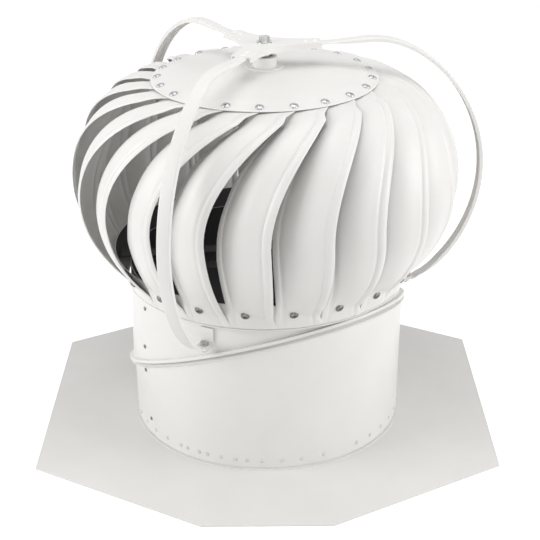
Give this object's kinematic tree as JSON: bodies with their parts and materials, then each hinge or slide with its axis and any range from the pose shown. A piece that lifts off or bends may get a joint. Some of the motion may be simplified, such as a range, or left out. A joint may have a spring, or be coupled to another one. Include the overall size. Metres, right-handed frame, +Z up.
{
  "type": "roof turbine ventilator",
  "caption": "Wind-driven roof turbine vent: vaned globe head on a spindle with outside braces, over a two-part swivel throat on an octagonal flashing.",
  "frame": {"origin": "centre of the throat on the roof surface under the flashing", "axes": "+Z up along the throat and turbine axis, -Y towards the front of the object, +X to its right"},
  "size_m": [0.508, 0.508, 0.4427],
  "materials": {
    "white_paint": "satin off-white paint",
    "vane_paint": "satin off-white paint",
    "aluminium_rivet": "bare",
    "galvanised_steel": "galvanised",
    "bearing_steel": "ground"
  },
  "bodies": {
    "base": {"flashing_plate": "white_paint", "neck_ring": "white_paint", "lower_collar": "white_paint", "neck_rivets": "white_paint", "lower_seam_rivets": "white_paint"},
    "throat": {"brace_bracket_1": "galvanised_steel", "brace_bracket_2": "galvanised_steel", "brace_bracket_3": "galvanised_steel", "brace_rivets": "aluminium_rivet", "brace_strap_1": "white_paint", "brace_strap_2": "white_paint", "brace_strap_3": "white_paint", "bracket_bolts": "galvanised_steel", "bracket_nuts": "galvanised_steel", "hub_plate": "white_paint", "lower_bearing_inner_ring": "bearing_steel", "lower_thrust_collar": "galvanised_steel", "spindle": "galvanised_steel", "spindle_lower_nut": "galvanised_steel", "spindle_lower_washer": "galvanised_steel", "spindle_top_nut": "galvanised_steel", "spindle_top_washer": "galvanised_steel", "throat_spider": "galvanised_steel", "upper_bearing_inner_ring": "bearing_steel", "upper_collar": "white_paint", "upper_seam_rivets": "white_paint", "upper_spacer": "galvanised_steel", "upper_thrust_collar": "galvanised_steel"},
    "rotor": {"top_cap": "white_paint", "bottom_ring": "white_paint", "cap_rivets": "aluminium_rivet", "ring_rivets": "aluminium_rivet", "upper_bearing_housing": "galvanised_steel", "upper_bearing_outer_ring": "bearing_steel", "lower_bearing_housing": "galvanised_steel", "lower_bearing_outer_ring": "bearing_steel", "rotor_spider": "galvanised_steel", "vane_01": "vane_paint", "vane_02": "vane_paint", "vane_03": "vane_paint", "vane_04": "vane_paint", "vane_05": "vane_paint", "vane_06": "vane_paint", "vane_07": "vane_paint", "vane_08": "vane_paint", "vane_09": "vane_paint", "vane_10": "vane_paint", "vane_11": "vane_paint", "vane_12": "vane_paint", "vane_13": "vane_paint", "vane_14": "vane_paint", "vane_15": "vane_paint", "vane_16": "vane_paint", "vane_17": "vane_paint", "vane_18": "vane_paint", "vane_19": "vane_paint", "vane_20": "vane_paint", "vane_21": "vane_paint"}
  },
  "joints": [
    {"name": "base_pitch_swivel", "type": "hinge", "parent": "base", "child": "throat", "pos_m": [0, 0, 0.1048], "axis": [-0.2222, 0.3116, 0.9239], "continuous": true},
    {"name": "turbine_spin", "type": "hinge", "parent": "throat", "child": "rotor", "pos_m": [0, 0, 0.3], "axis": [0, 0, 1], "continuous": true}
  ]
}
